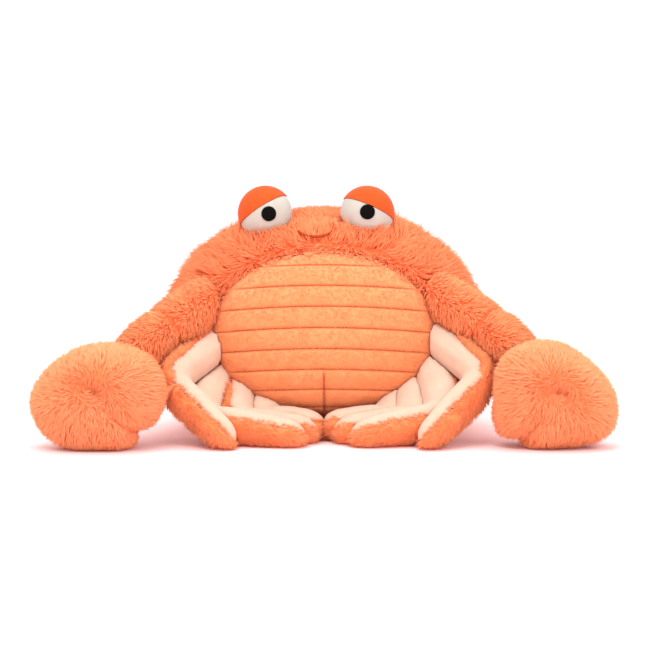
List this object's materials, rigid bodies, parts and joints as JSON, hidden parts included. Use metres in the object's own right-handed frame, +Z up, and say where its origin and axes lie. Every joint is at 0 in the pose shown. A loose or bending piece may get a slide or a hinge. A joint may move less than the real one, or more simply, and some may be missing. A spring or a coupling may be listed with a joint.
{
  "type": "plush crab",
  "caption": "Sitting soft toy crab with a shaggy domed body, a quilted oval belly, round half-lidded eyes, arms with mitten claws and bent legs folded in front.",
  "frame": {"origin": "centre of the flat base that the crab sits on", "axes": "+X toward the crab's left side along its widest extent, -Y the way it faces, +Z up"},
  "size_m": [0.4247, 0.2182, 0.186],
  "materials": {
    "body_pile": "long shaggy orange plush pile",
    "belly_pile": "short apricot plush pile, quilted across",
    "arm_pile": "dense soft orange plush pile",
    "claw_pile": "dense soft light orange plush pile",
    "leg_suedette": "smooth cream suedette",
    "leg_pile": "short orange plush pile",
    "eye_white": "smooth off-white suedette",
    "lid_suedette": "smooth orange suedette",
    "pupil_thread": "black satin stitch",
    "smile_thread": "thick dark orange thread"
  },
  "bodies": {
    "root": {"body_shell": "body_pile", "belly_panel": "belly_pile", "right_arm": "arm_pile", "left_arm": "arm_pile", "right_claw": "claw_pile", "left_claw": "claw_pile", "right_leg_1_suede": "leg_suedette", "right_leg_1_fur": "leg_pile", "right_leg_2_suede": "leg_suedette", "right_leg_2_fur": "leg_pile", "right_leg_3_suede": "leg_suedette", "right_leg_3_fur": "leg_pile", "right_leg_4_suede": "leg_suedette", "right_leg_4_fur": "leg_pile", "left_leg_1_suede": "leg_suedette", "left_leg_1_fur": "leg_pile", "left_leg_2_suede": "leg_suedette", "left_leg_2_fur": "leg_pile", "left_leg_3_suede": "leg_suedette", "left_leg_3_fur": "leg_pile", "left_leg_4_suede": "leg_suedette", "left_leg_4_fur": "leg_pile", "right_eye_ball": "eye_white", "right_eye_lid": "lid_suedette", "right_pupil": "pupil_thread", "left_eye_ball": "eye_white", "left_eye_lid": "lid_suedette", "left_pupil": "pupil_thread", "smile": "smile_thread"}
  },
  "joints": []
}
